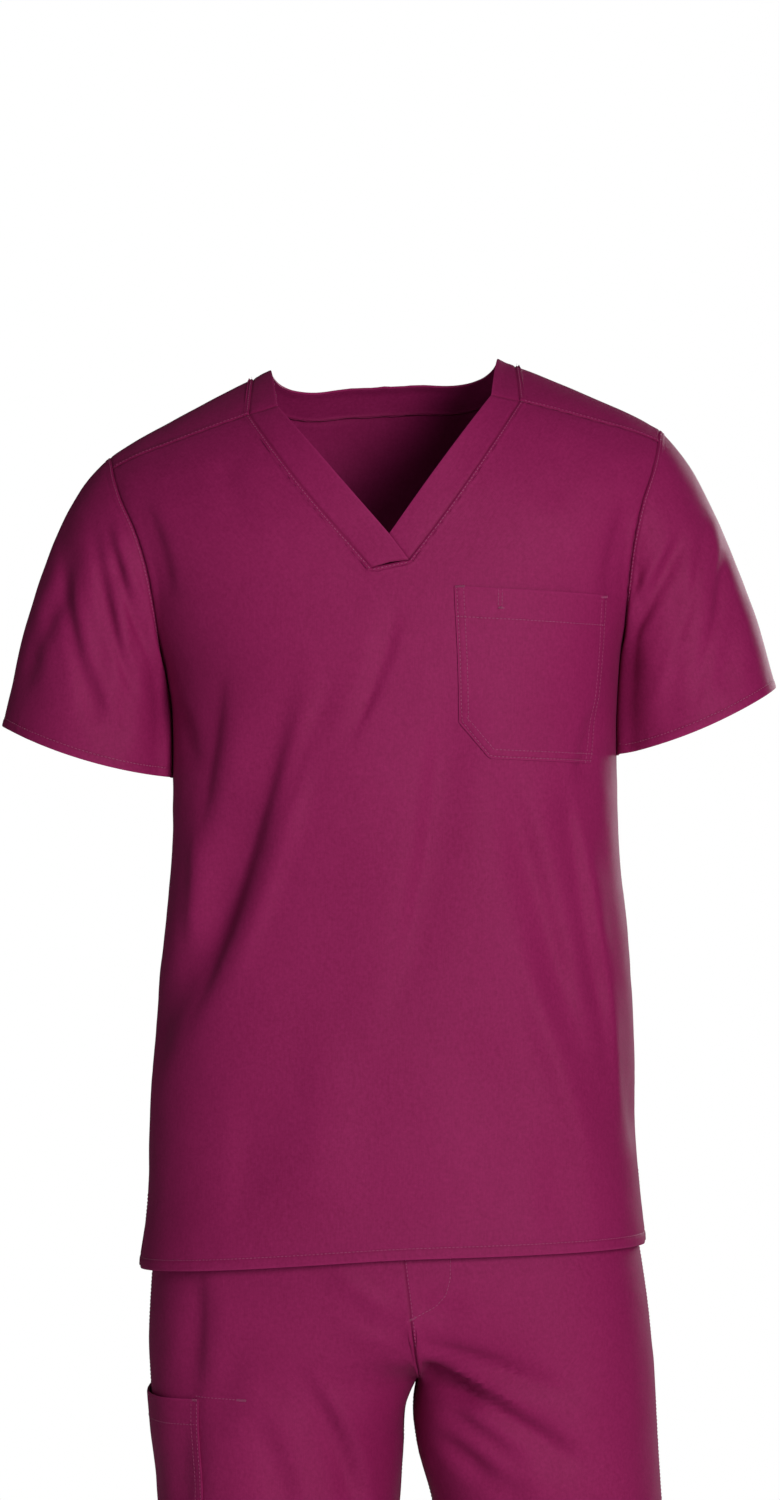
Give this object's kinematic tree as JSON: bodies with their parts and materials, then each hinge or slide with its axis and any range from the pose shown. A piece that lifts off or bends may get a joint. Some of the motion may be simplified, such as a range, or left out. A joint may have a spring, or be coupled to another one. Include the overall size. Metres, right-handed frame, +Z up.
{
  "type": "medical scrubs",
  "caption": "Plum V-neck short-sleeved scrub top with a chest pocket and matching straight-leg trousers with a cargo pocket, standing hollow in their worn form.",
  "frame": {"origin": "midway between the two points where the neckline crosses the shoulders, where the wearer holds the set", "axes": "+Z up, the front faces -Y, the wearer's left is +X"},
  "size_m": [0.621, 0.2488, 1.6094],
  "materials": {
    "cloth": "matt woven poplin with a slight sheen"
  },
  "bodies": {
    "root": {"top_front": "cloth", "top_back": "cloth", "sleeve_right": "cloth", "sleeve_left": "cloth", "neckband_right": "cloth", "neckband_left": "cloth", "neckband_back": "cloth", "chest_pocket": "cloth", "leg_front_right": "cloth", "leg_front_left": "cloth", "leg_back_right": "cloth", "leg_back_left": "cloth", "waistband": "cloth", "cargo_pocket": "cloth"}
  },
  "joints": []
}
